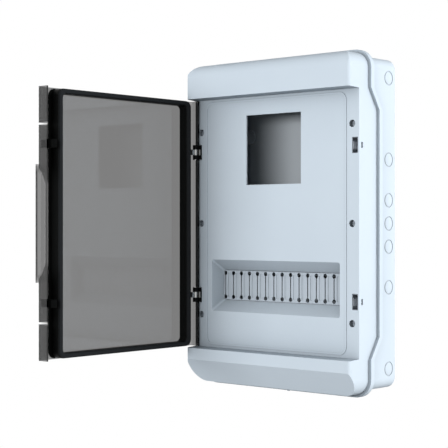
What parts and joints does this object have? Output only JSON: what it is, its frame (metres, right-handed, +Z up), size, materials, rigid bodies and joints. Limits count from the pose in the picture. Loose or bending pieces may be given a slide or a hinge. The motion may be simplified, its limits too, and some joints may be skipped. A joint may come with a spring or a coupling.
{
  "type": "electric meter box",
  "caption": "Wall-mounted grey plastic meter box with a smoked door standing open, a square meter window, a sunk tray of break-off blanks and a stepped rear lip.",
  "frame": {"origin": "centre of the four wall-fixing holes on the rear face", "axes": "+X to the right seen from the front, +Y into the wall, +Z up"},
  "size_m": [0.3677, 0.4576, 0.5564],
  "materials": {
    "light_grey_plastic": "satin moulded light grey",
    "dark_grey_plastic": "matt moulded dark grey",
    "black_plastic": "satin black",
    "smoked_plastic": "clear smoked polycarbonate",
    "seal_rubber": "matt black foamed rubber",
    "plated_steel": "bright zinc plate",
    "brass": "drawn brass"
  },
  "bodies": {
    "enclosure": {"rear_box": "light_grey_plastic", "box_seal": "seal_rubber", "front_cover": "light_grey_plastic", "blanking_strip": "light_grey_plastic", "din_rail": "plated_steel", "meter_plate": "dark_grey_plastic", "neutral_bar_holder": "black_plastic", "neutral_bar": "brass", "earth_bar_holder": "black_plastic", "earth_bar": "brass", "latch_keeper_upper": "black_plastic", "latch_keeper_lower": "black_plastic", "hinge_bracket_upper": "black_plastic", "hinge_bracket_lower": "black_plastic", "hinge_pin_upper": "plated_steel", "hinge_pin_lower": "plated_steel"},
    "door": {"door_panel": "smoked_plastic", "window_frame": "black_plastic", "door_seal": "seal_rubber", "hinge_leaf_upper": "plated_steel", "hinge_leaf_lower": "plated_steel", "latch_hook_upper": "black_plastic", "latch_hook_lower": "black_plastic"}
  },
  "joints": [
    {"name": "door_hinge", "type": "hinge", "parent": "enclosure", "child": "door", "pos_m": [-0.1686, -0.113, 0], "axis": [0, 0, 1], "range_deg": [-15, 90]}
  ]
}
